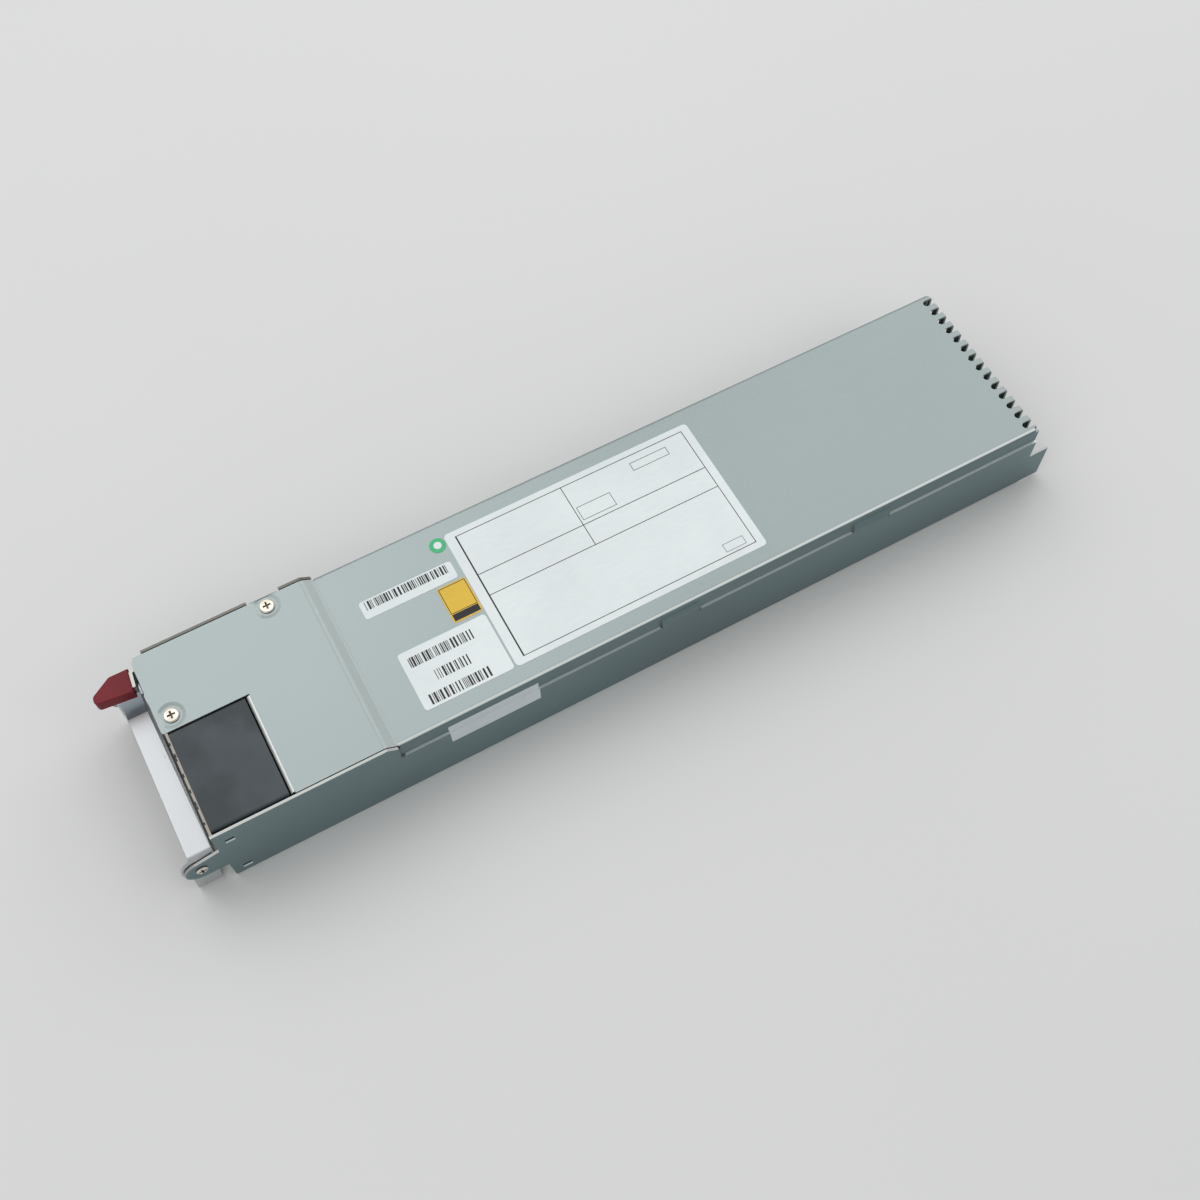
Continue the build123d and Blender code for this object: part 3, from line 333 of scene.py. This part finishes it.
def lid_edges(finish, colour):
    """Bare edges of the lid's top and slots, with painted highlights on the fold behind the fan and on the
    near bend, and painted light on the step.
    """
    x, y, z = finish.split(finish.place)
    turn_x, turn_y, turn_z = finish.split(finish.facing)
    top = finish.over(z, (lid_top - lid_depth) * MM)
    upright = finish.under(finish.size(turn_z), cut_turn)
    colour = finish.mix(finish.both(top, upright), colour, lid_cut)
    # Painted highlight on the fold behind the fan
    behind_fan = finish.near(y, (case_front + fold_middle) * MM, fold_reach * MM)
    folded = finish.both(finish.under(turn_y, fold_turn), behind_fan)
    colour = finish.mix(finish.both(top, folded), colour, fold_highlight)
    # Painted highlight on the lid's near bend
    bend_glint = finish.near(turn_x, bend_turn, bend_turn_reach)
    bend_glint = finish.both(bend_glint, finish.near(x, bend_middle * MM, bend_reach * MM))
    colour = finish.mix(finish.both(top, bend_glint), colour, near_bend_highlight)
    # Painted light on the step, picked by which way it faces
    lit_step = finish.near(turn_y, step_turn, step_turn_reach)
    return finish.mix(finish.both(top, lit_step), colour, step_light)


def panel_edge(finish, colour):
    """A worn upper edge on the front panel, with dark marks at even steps."""
    x, y, z = finish.split(finish.place)
    top = finish.over(z, (raised_top - panel_depth) * MM)
    blotch = finish.noise(scale=330.0)
    worn = finish.mix(finish.over(blotch, mark_blotch), panel_cut, shade_and_mark_black)
    step = finish.math("PINGPONG", x, mark_pitch / 2 * MM)
    ragged = finish.layered(blotch, mark_raggedness * MM, step)
    front = finish.under(y, (case_front + mark_depth) * MM)
    marks = finish.both(finish.under(ragged, mark_width * MM), front)
    return finish.mix(top, colour, finish.mix(marks, worn, shade_and_mark_black))


# Finishes of metal
def sheet_metal(name, light, dark, gloss, edges, flank_shade=None):
    """Plated sheet: cloudy tone, rolling streaks, crystal grain, rare specks, bare edges with their painted
    highlights and shade, and painted shade on faces turned sideways where a shade colour is given.
    """
    finish = Finish(name)
    cloud = finish.noise(scale=9.0, detail=4.0)
    streak = finish.noise(scale=14.0, vector=finish.stretched((40, 4, 40)))
    grain = finish.noise(scale=1100.0, detail=2.0)
    tone = finish.layered(streak, 0.20, finish.layered(grain, 0.50, cloud))
    span = (0.62, 1.0)
    colour = finish.ramp(tone, span, dark, light)
    specks = finish.specks(scale=55.0, radius=0.018, strength=0.35)
    colour = finish.mix(specks, colour, sheet_speck)
    # Painted shade on faces turned sideways
    if flank_shade:
        turn = finish.size(finish.split(finish.facing)[0])
        colour = finish.mix(finish.over(turn, flank_turn), colour, flank_shade)
    finish.surface("Base Color", edges(finish, colour))
    finish.surface("Metallic", 0.8)
    finish.surface("Roughness", finish.ramp(tone, span, *gloss))
    finish.bump(grain, depth=0.02, strength=0.35)
    return finish.material


def screw_head(name, axis, top):
    """Bright screw metal, with painted shade in the cross recess and on the rim under the head."""
    finish = Finish(name)
    cloud = finish.noise(scale=200.0, detail=4.0)
    span = (0.40, 0.62)
    colour = finish.ramp(cloud, span, (0.62, 0.57, 0.48), (0.82, 0.78, 0.70))
    place = finish.size(finish.split(finish.place)[axis])
    turn = finish.size(finish.split(finish.facing)[axis])
    # Painted shade in the cross recess and on the rim under the head
    recess_shaded = finish.under(place, (top - recess_depth) * MM)
    away = finish.size(finish.math("SUBTRACT", turn, chamfer_turn))
    off_chamfer = finish.over(away, chamfer_turn_reach)
    finish.surface("Base Color", finish.mix(finish.both(recess_shaded, off_chamfer), colour, recess_shade))
    finish.surface("Metallic", 0.8)
    finish.surface("Roughness", finish.ramp(cloud, span, 0.42, 0.28))
    return finish.material


def strap_metal(name):
    """Bright strap with a fine grain along it, and painted shade on the slope at its far end."""
    finish = Finish(name)
    grain = finish.noise(scale=16.0, detail=4.0, vector=finish.stretched((1, 40, 40)))
    tone = finish.layered(grain, 0.5, finish.noise(scale=60.0))
    span = (0.5, 1.0)
    colour = finish.ramp(tone, span, (0.46, 0.475, 0.485), (0.56, 0.575, 0.585))
    specks = finish.specks(scale=70.0, radius=0.03, strength=0.5)
    colour = finish.mix(specks, colour, strap_speck)
    # Painted shade on the slope at the far end, picked by which way it faces
    turn = finish.split(finish.facing)[0]
    slope = finish.both(finish.over(turn, slope_turns[0]), finish.under(turn, slope_turns[1]))
    finish.surface("Base Color", finish.mix(slope, colour, strap_slope_shade))
    finish.surface("Metallic", 0.85)
    finish.surface("Roughness", finish.ramp(tone, span, 0.36, 0.48))
    finish.bump(grain, depth=0.01, strength=0.3)
    return finish.material


def plain_metal(name, light, dark, gloss, metallic=0.9, streaks=None):
    """Turned, drawn or cast metal with a fine grain and uneven gloss."""
    finish = Finish(name)
    vector = finish.stretched(streaks) if streaks else None
    cloud = finish.noise(scale=60.0, detail=4.0, vector=vector)
    speck = finish.noise(scale=900.0, detail=2.0, vector=vector)
    tone = finish.layered(speck, 0.4, cloud)
    span = (0.5, 0.9)
    finish.surface("Base Color", finish.ramp(tone, span, dark, light))
    finish.surface("Metallic", metallic)
    finish.surface("Roughness", finish.ramp(tone, span, *gloss))
    finish.bump(speck, depth=0.01, strength=0.4)
    return finish.material


def winding(name, light, dark):
    """Turns of enamelled wire side by side."""
    finish = Finish(name)
    wave = finish.tree.nodes.new("ShaderNodeTexWave")
    finish.feed(wave.inputs["Vector"], finish.place)
    wave.inputs["Scale"].default_value = 260.0
    wave.inputs["Distortion"].default_value = 1.5
    turns = wave.outputs["Fac"]
    finish.surface("Base Color", finish.ramp(turns, (0.1, 0.7), dark, light))
    finish.surface("Metallic", 0.5)
    finish.surface("Roughness", finish.ramp(turns, (0.2, 0.8), 0.5, 0.3))
    finish.bump(turns, depth=0.3, strength=0.6)
    return finish.material


# Finishes of plastic, film and board
def moulded(name, light, dark, gloss, grain=1400.0, relief=0.02, scuff=0.0, sheen=0.5):
    """Moulded plastic with a fine spark-eroded grain and, where wanted, scuffs and dust."""
    finish = Finish(name)
    cloud = finish.noise(scale=45.0, detail=4.0)
    speck = finish.noise(grain, detail=2.0)
    colour = finish.ramp(cloud, (0.35, 0.68), dark, light)
    if scuff:
        smudge = finish.noise(scale=46.0, roughness=0.45)
        colour = finish.mix(finish.ramp(smudge, (0.42, 0.60), 0.0, scuff), colour, plastic_scuff)
        dust = finish.specks(scale=90.0, radius=0.03, strength=0.5)
        colour = finish.mix(dust, colour, plastic_dust)
    finish.surface("Base Color", colour)
    play = 0.07
    finish.surface("Roughness", finish.ramp(speck, noise_span, gloss - play, gloss + play))
    finish.surface("Specular IOR Level", sheen)
    finish.bump(speck, depth=relief, strength=0.5)
    return finish.material


def printed_film(name, light, dark, gloss=0.42, metallic=0.0, sheen=0.5):
    """Label stock: even colour with slight yellowing, fibres and small ripples."""
    finish = Finish(name)
    cloud = finish.noise(scale=22.0)
    fibre = finish.noise(scale=700.0, detail=2.0, vector=finish.stretched((1.0, 0.3, 1.0)))
    tone = finish.layered(fibre, 0.3, cloud)
    play = 0.06
    finish.surface("Base Color", finish.ramp(tone, (0.45, 0.85), dark, light))
    finish.surface("Metallic", metallic)
    finish.surface("Roughness", finish.ramp(cloud, noise_span, gloss - play, gloss + play))
    finish.surface("Specular IOR Level", sheen)
    finish.bump(finish.noise(scale=150.0, detail=2.0), depth=0.02, strength=0.3)
    return finish.material


def circuit_board(name, mask, light_mask, traces):
    """Solder mask with faint copper traces under it."""
    finish = Finish(name)
    brick = finish.tree.nodes.new("ShaderNodeTexBrick")
    finish.feed(brick.inputs["Vector"], finish.place)
    brick.inputs["Scale"].default_value = 60.0
    brick.inputs["Mortar Size"].default_value = 0.04
    for socket, colour in (("Color1", mask), ("Color2", light_mask), ("Mortar", traces)):
        brick.inputs[socket].default_value = (*colour, 1)
    speck = finish.noise(scale=500.0, detail=2.0)
    finish.surface("Base Color", brick.outputs["Color"])
    finish.surface("Roughness", finish.ramp(speck, noise_span, 0.28, 0.42))
    finish.bump(brick.outputs["Fac"], depth=0.02, strength=0.3)
    return finish.material


# Dressing of the loaded parts
def dress(material, *nodes):
    for node in nodes:
        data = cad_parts[node].data
        data.materials.clear()
        data.materials.append(material)


def dress_case():
    """The case, the handle, the release and the fan."""
    # Painted shade: the case's steel is a darker copy of the lid's steel, for side walls that lie in shade
    dress(sheet_metal("shaded_case_steel", light=(0.184, 0.256, 0.272), dark=(0.138, 0.197, 0.211),
                      gloss=(0.36, 0.48), edges=wall_edges), "chassis_base")
    dress(sheet_metal("panel_steel", light=(0.34, 0.38, 0.38), dark=(0.27, 0.31, 0.31),
                      gloss=(0.36, 0.48), edges=panel_edge), "front_panel")
    # The lid's faces turned sideways get painted shade, down to the side walls' tone
    dress(sheet_metal("lid_steel", light=(0.365, 0.418, 0.414), dark=(0.305, 0.352, 0.350),
                      gloss=(0.40, 0.52), edges=lid_edges, flank_shade=(0.165, 0.225, 0.238)), "top_cover")
    dress(strap_metal("strap_metal"), "handle")
    dress(screw_head("lid_screw_metal", axis=2, top=raised_top + head_top), "cover_screws")
    dress(screw_head("ear_screw_metal", axis=0, top=wall_face + head_top), "pivot_screws")
    dress(plain_metal("screw_metal", light=(0.84, 0.80, 0.72), dark=(0.66, 0.61, 0.53), gloss=(0.20, 0.32)),
          "fan_screws", "pivot_nuts", "board_screws", "board_standoffs")
    dress(plain_metal("spring_steel", light=(0.50, 0.50, 0.46), dark=(0.40, 0.40, 0.37), gloss=(0.34, 0.46)),
          "release_lever", "release_spring", "release_rivets", "inlet_pins")
    dress(moulded("grip_plastic", light=(0.160, 0.011, 0.017), dark=(0.110, 0.006, 0.010), gloss=0.46,
                  relief=0.04, sheen=0.22), "release_grip")
    dress(moulded("fan_plastic", light=(0.060, 0.075, 0.082), dark=(0.045, 0.056, 0.062), gloss=0.42,
                  scuff=0.75, sheen=0.3), "fan_frame", "fan_rotor")
    dress(plain_metal("bearing_bronze", light=(0.58, 0.42, 0.22), dark=(0.46, 0.32, 0.16),
                      gloss=(0.35, 0.50)), "fan_bearing")
    dress(moulded("black_plastic", light=(0.030, 0.030, 0.031), dark=(0.020, 0.020, 0.021), gloss=0.48),
          "ac_inlet")
    dress(moulded("lamp_lens", light=(0.40, 0.62, 0.38), dark=(0.32, 0.54, 0.31), gloss=0.18), "status_led")


def dress_board():
    """The boards and what stands on them."""
    dress(circuit_board("board_green", mask=(0.018, 0.115, 0.055), light_mask=(0.022, 0.135, 0.065),
                        traces=(0.035, 0.20, 0.095)), "main_board", "inlet_board", "control_board")
    dress(plain_metal("contact_gold", light=(0.95, 0.72, 0.30), dark=(0.87, 0.62, 0.24), gloss=(0.25, 0.35),
                      metallic=0.75), "edge_contacts")
    dress(plain_metal("bar_copper", light=(0.72, 0.40, 0.26), dark=(0.60, 0.31, 0.19), gloss=(0.25, 0.38),
                      streaks=(1, 30, 1)), "output_bars")
    dress(plain_metal("sink_aluminium", light=(0.74, 0.75, 0.76), dark=(0.64, 0.65, 0.66), gloss=(0.34, 0.46),
                      streaks=(40, 1, 1)), "input_heatsink", "power_heatsink", "rectifier_heatsink")
    dress(winding("winding_copper", light=(0.62, 0.30, 0.15), dark=(0.30, 0.12, 0.05)),
          "fan_stator", "line_filter_choke", "boost_choke")
    dress(moulded("device_resin", light=(0.035, 0.035, 0.037), dark=(0.025, 0.025, 0.027), gloss=0.55,
                  grain=700.0, relief=0.05), "bridge_rectifier", "power_transistors")
    dress(moulded("can_sleeve", light=(0.030, 0.034, 0.060), dark=(0.022, 0.025, 0.045), gloss=0.30),
          "bulk_capacitors", "output_capacitors")
    dress(moulded("relay_case", light=(0.040, 0.085, 0.200), dark=(0.030, 0.065, 0.160), gloss=0.35), "relay")
    dress(moulded("capacitor_box", light=(0.62, 0.44, 0.06), dark=(0.54, 0.37, 0.04), gloss=0.34),
          "line_capacitors")
    dress(printed_film("coil_tape", light=(0.66, 0.52, 0.10), dark=(0.56, 0.42, 0.07), gloss=0.34),
          "transformer_winding", "standby_transformer")
    dress(moulded("core_ferrite", light=(0.055, 0.055, 0.058), dark=(0.040, 0.040, 0.042), gloss=0.62,
                  grain=500.0, relief=0.06), "transformer_core", "output_choke")
    dress(moulded("pale_plastic", light=(0.70, 0.69, 0.64), dark=(0.62, 0.61, 0.56), gloss=0.42),
          "insulator_sheet", "fan_header", "fuse")


# Modelling by hand
def middle_of(box, z):
    x0, x1, y0, y1 = box
    return spot((x0 + x1) / 2, (y0 + y1) / 2, z)


def begin(name, box, z):
    """A flat sheet over a box, left in edit mode with all of it selected."""
    x0, x1, y0, y1 = box
    bpy.ops.object.select_all(action="DESELECT")
    bpy.ops.mesh.primitive_plane_add(size=1, location=middle_of(box, z))
    piece = bpy.context.object
    piece.name = name
    piece.scale = ((x1 - x0) * MM, (y1 - y0) * MM, 1)
    bpy.ops.object.transform_apply(location=True, rotation=True, scale=True)
    bpy.ops.object.mode_set(mode="EDIT")
    bpy.ops.mesh.select_all(action="SELECT")
    return piece


def add_patch(box, z):
    """One more flat patch in the mesh being edited."""
    x0, x1, y0, y1 = box
    middle = middle_of(box, z)
    bpy.ops.mesh.select_all(action="DESELECT")
    bpy.ops.mesh.primitive_plane_add(size=1, location=middle)
    bpy.ops.transform.resize(value=((x1 - x0) * MM, (y1 - y0) * MM, 1), center_override=middle)


def thicken(height):
    """Give all of the mesh being edited a thickness upwards."""
    bpy.ops.mesh.select_all(action="SELECT")
    bpy.ops.mesh.extrude_region_move(TRANSFORM_OT_translate={"value": (0, 0, height * MM)})
    bpy.ops.mesh.select_all(action="SELECT")
    bpy.ops.mesh.normals_make_consistent(inside=False)


def finish_piece(piece, material):
    """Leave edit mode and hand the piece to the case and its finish."""
    if bpy.context.mode != "OBJECT":
        bpy.ops.object.mode_set(mode="OBJECT")
    piece.data.materials.clear()
    piece.data.materials.append(material)
    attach(piece, "case")


# Labels on the lid
def label(name, box, corner, material):
    """A label with rounded corners, stuck on the lid."""
    piece = begin(name, box, lid_top)
    bpy.ops.mesh.bevel(offset=corner * MM, segments=corner_steps, affect="VERTICES")
    thicken(label_stock)
    finish_piece(piece, material)


def ruled_box(box, line, z):
    """Four thin lines along the inside of a box."""
    x0, x1, y0, y1 = box
    add_patch((x0, x1, y0, y0 + line), z)
    add_patch((x0, x1, y1 - line, y1), z)
    add_patch((x0, x0 + line, y0 + line, y1 - line), z)
    add_patch((x1 - line, x1, y0 + line, y1 - line), z)


def stripes(box, z, chance):
    """Stripes of uneven width across a box."""
    x0, x1, y, y1 = box
    while y < y1 - stripe_end:
        width = chance.choice(stripe_widths)
        add_patch((x0, x1, y, y + width), z)
        y += width + chance.choice(stripe_gaps)


def finish_print(piece, black):
    thicken(ink)
    finish_piece(piece, black)


def add_rating_label(paper, black):
    """The large label: a ruled border, three rules inside it and three empty fields."""
    label("rating_label", rating_box, rating_corner, paper)
    z = lid_top + label_stock
    piece = begin("rating_label_rules", rating_front_rule, z)
    ruled_box(rating_border, rating_rule, z)
    for x in rating_long_rules:
        add_patch((x, x + rating_rule, *rating_long_rule_ends), z)
    add_patch(rating_cross_rule, z)
    ruled_box(rating_small_field, rating_small_rule, z)
    for field in rating_large_fields:
        ruled_box(field, rating_large_rule, z)
    finish_print(piece, black)


def add_stripe_labels(paper, black):
    """The two small white labels, with plain stripes of uneven width."""
    label("serial_label", serial_box, stripe_label_corner, paper)
    label("code_label", code_box, stripe_label_corner, paper)
    z = lid_top + label_stock
    chance = random.Random(stripe_seed)
    piece = begin("label_stripes", first_stripe, z)
    for field in stripe_fields:
        stripes(field, z, chance)
    finish_print(piece, black)


def add_gold_tag(gold, black):
    """A bare gold tag with a thin border and a dark band."""
    label("gold_tag", tag_box, tag_corner, gold)
    z = lid_top + label_stock
    piece = begin("gold_tag_band", tag_band, z)
    ruled_box(tag_border, tag_rule, z)
    finish_print(piece, black)


def round_label(name, radius, material, z, stock):
    bpy.ops.object.select_all(action="DESELECT")
    bpy.ops.mesh.primitive_circle_add(vertices=dot_corners, radius=radius * MM, fill_type="NGON",
                                      location=spot(*dot_place, z))
    piece = bpy.context.object
    piece.name = name
    bpy.ops.object.transform_apply(location=True, rotation=True, scale=True)
    bpy.ops.object.mode_set(mode="EDIT")
    thicken(stock)
    finish_piece(piece, material)


def add_green_dot(green, paper):
    """A round green sticker with a white middle."""
    round_label("green_dot", dot_radius, green, lid_top, label_stock)
    round_label("green_dot_middle", dot_middle_radius, paper, lid_top + label_stock, label_stock / 2)


# Seal on the near side
def select_height(piece, height):
    """Select only what lies at a height in the mesh being edited."""
    bpy.ops.mesh.select_all(action="DESELECT")
    edit = bmesh.from_edit_mesh(piece.data)
    for vertex in edit.verts:
        vertex.select_set(abs(vertex.co.z - height * MM) < seal_gap * MM)
    edit.select_flush(True)
    bmesh.update_edit_mesh(piece.data)


def add_side_seal(film):
    """A seal across the lid's flange and the side wall, folded over the wall's edge."""
    wall_x = wall_face + seal_gap
    flange_x = flange_face + seal_gap
    fold = [
        (wall_x, ledge_height + seal_gap),
        (flange_x + seal_ease, ledge_height + 3 * seal_gap),
        (flange_x, ledge_height + seal_rise),
        (flange_x, seal_top),
    ]
    wall_top = fold[0][1]
    middle = spot(wall_x, (seal_front_foot + seal_back) / 2, (seal_foot + wall_top) / 2)
    bpy.ops.object.select_all(action="DESELECT")
    bpy.ops.mesh.primitive_plane_add(size=1, location=middle, rotation=(0, pi / 2, 0))
    piece = bpy.context.object
    piece.name = "side_seal"
    piece.scale = ((wall_top - seal_foot) * MM, (seal_back - seal_front_foot) * MM, 1)
    bpy.ops.object.transform_apply(location=True, rotation=True, scale=True)
    bpy.ops.object.mode_set(mode="EDIT")
    select_height(piece, wall_top)
    for (x_old, z_old), (x, z) in zip(fold, fold[1:]):
        step = ((x - x_old) * MM, 0, (z - z_old) * MM)
        bpy.ops.mesh.extrude_region_move(TRANSFORM_OT_translate={"value": step})
    bpy.ops.object.mode_set(mode="OBJECT")
    lean = (seal_front_top - seal_front_foot) / (seal_top - seal_foot)
    for vertex in piece.data.vertices:
        if vertex.co.y < middle.y:
            vertex.co.y += lean * (vertex.co.z - seal_foot * MM)
    solid = piece.modifiers.new("thickness", "SOLIDIFY")
    solid.thickness = label_stock * MM
    solid.offset = 0.0
    bpy.ops.object.modifier_apply(modifier=solid.name)
    finish_piece(piece, film)


def add_labels():
    paper = printed_film("label_paper", light=(0.66, 0.70, 0.70), dark=(0.585, 0.62, 0.622))
    film = printed_film("seal_film", light=(0.56, 0.60, 0.62), dark=(0.49, 0.525, 0.545))
    black = printed_film("label_ink", light=(0.032, 0.032, 0.034), dark=(0.022, 0.022, 0.024), gloss=0.5,
                         sheen=0.2)
    gold = printed_film("gold_foil", light=(0.64, 0.43, 0.045), dark=(0.54, 0.34, 0.03), gloss=0.38,
                        metallic=0.15, sheen=0.35)
    green = printed_film("green_film", light=(0.035, 0.42, 0.17), dark=(0.028, 0.34, 0.135), gloss=0.4)
    add_rating_label(paper, black)
    add_stripe_labels(paper, black)
    add_gold_tag(gold, black)
    add_green_dot(green, paper)
    add_side_seal(film)


# Floor, lamps and world
def add_floor():
    bpy.ops.mesh.primitive_plane_add(size=floor_size, location=(0, 0, 0))
    floor = bpy.context.object
    floor.name = "floor"
    finish = Finish("pale_floor")
    shade = tuple(floor_shade * part for part in floor_colour)
    tone = finish.noise(scale=3.0, detail=2.0)
    finish.surface("Base Color", finish.ramp(tone, noise_span, shade, floor_colour))
    finish.surface("Roughness", floor_roughness)
    floor.data.materials.append(finish.material)


def add_lamp(name, place, side, power):
    """A square area lamp that looks at the origin."""
    data = bpy.data.lights.new(name, "AREA")
    data.shape = "RECTANGLE"
    data.size = side
    data.size_y = side
    data.energy = power
    lamp = bpy.data.objects.new(name, data)
    lamp.location = place
    lamp.rotation_euler = (-Vector(place)).to_track_quat("-Z", "Y").to_euler()
    bpy.context.scene.collection.objects.link(lamp)


def add_world():
    """An even pale sky, dimmer where the camera sees it, straight, mirrored or through glass."""
    world = bpy.data.worlds.new("studio")
    world.use_nodes = True
    tree = world.node_tree
    rays = tree.nodes.new("ShaderNodeLightPath").outputs
    seen = rays["Is Camera Ray"]
    for kind in ("Is Glossy Ray", "Is Transmission Ray"):
        either = tree.nodes.new("ShaderNodeMath")
        either.operation = "MAXIMUM"
        tree.links.new(seen, either.inputs[0])
        tree.links.new(rays[kind], either.inputs[1])
        seen = either.outputs[0]
    strength = tree.nodes.new("ShaderNodeMapRange")
    strength.inputs["To Min"].default_value = world_light
    strength.inputs["To Max"].default_value = backdrop_light
    tree.links.new(seen, strength.inputs["Value"])
    background = tree.nodes["Background"]
    background.inputs["Color"].default_value = world_colour
    tree.links.new(strength.outputs["Result"], background.inputs["Strength"])
    bpy.context.scene.world = world


def add_studio():
    add_floor()
    add_world()
    add_lamp("key", place=(-0.75, -0.25, 1.25), side=1.3, power=8.0)
    add_lamp("fill", place=(0.5, -1.0, 0.8), side=0.9, power=1.5)
    add_lamp("rear", place=(-0.5, 1.1, 0.95), side=1.1, power=4.5)
    add_lamp("bend", place=(0.77, 0.63, 0.98), side=0.3, power=0.9)


dress_case()
dress_board()
add_labels()
add_studio()
add_camera()
bpy.context.scene.view_settings.view_transform = "Standard"
